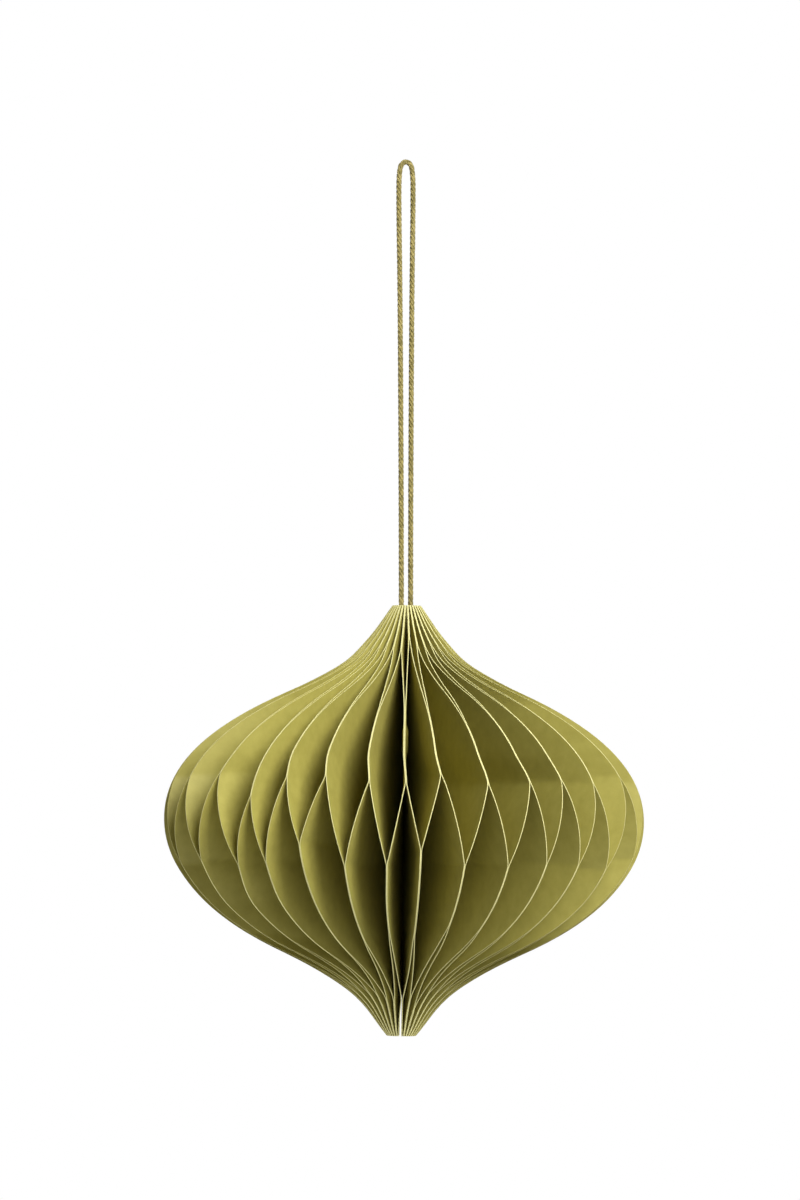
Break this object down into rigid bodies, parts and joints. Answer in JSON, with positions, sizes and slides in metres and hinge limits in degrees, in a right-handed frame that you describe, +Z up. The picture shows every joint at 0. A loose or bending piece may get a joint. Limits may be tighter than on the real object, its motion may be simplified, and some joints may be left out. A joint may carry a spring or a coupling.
{
  "type": "paper drop ornament",
  "caption": "Hanging honeycomb ornament of olive paper leaves, drop shaped with pointed ends, on a long cotton cord loop.",
  "frame": {"origin": "inside top of the cord loop, where a hook or a peg carries it", "axes": "+Z up along the ornament's axis, -Y towards the seam between the first and the last leaf, the loop in the XZ plane"},
  "size_m": [0.2, 0.1998, 0.3658],
  "materials": {
    "leaf_paper": "uncoated dyed card, olive",
    "cord_cotton": "twisted cotton cord, olive",
    "magnet_metal": "plated disc magnet"
  },
  "bodies": {
    "root": {"leaf_pair_01": "leaf_paper", "leaf_pair_02": "leaf_paper", "leaf_pair_03": "leaf_paper", "leaf_pair_04": "leaf_paper", "leaf_pair_05": "leaf_paper", "leaf_pair_06": "leaf_paper", "leaf_pair_07": "leaf_paper", "leaf_pair_08": "leaf_paper", "leaf_pair_09": "leaf_paper", "leaf_pair_10": "leaf_paper", "leaf_pair_11": "leaf_paper", "leaf_pair_12": "leaf_paper", "leaf_pair_13": "leaf_paper", "leaf_pair_14": "leaf_paper", "leaf_pair_15": "leaf_paper", "leaf_pair_16": "leaf_paper", "leaf_pair_17": "leaf_paper", "leaf_pair_18": "leaf_paper", "leaf_pair_19": "leaf_paper", "leaf_pair_20": "leaf_paper", "leaf_pair_21": "leaf_paper", "leaf_pair_22": "leaf_paper", "leaf_pair_23": "leaf_paper", "leaf_pair_24": "leaf_paper", "leaf_pair_25": "leaf_paper", "leaf_pair_26": "leaf_paper", "leaf_pair_27": "leaf_paper", "leaf_pair_28": "leaf_paper", "leaf_pair_29": "leaf_paper", "leaf_pair_30": "leaf_paper", "leaf_pair_31": "leaf_paper", "leaf_pair_32": "leaf_paper", "leaf_pair_33": "leaf_paper", "leaf_pair_34": "leaf_paper", "leaf_pair_35": "leaf_paper", "leaf_pair_36": "leaf_paper", "leaf_pair_37": "leaf_paper", "closing_magnet_left": "magnet_metal", "closing_magnet_right": "magnet_metal", "hanging_cord": "cord_cotton", "cord_knot": "cord_cotton"}
  },
  "joints": []
}
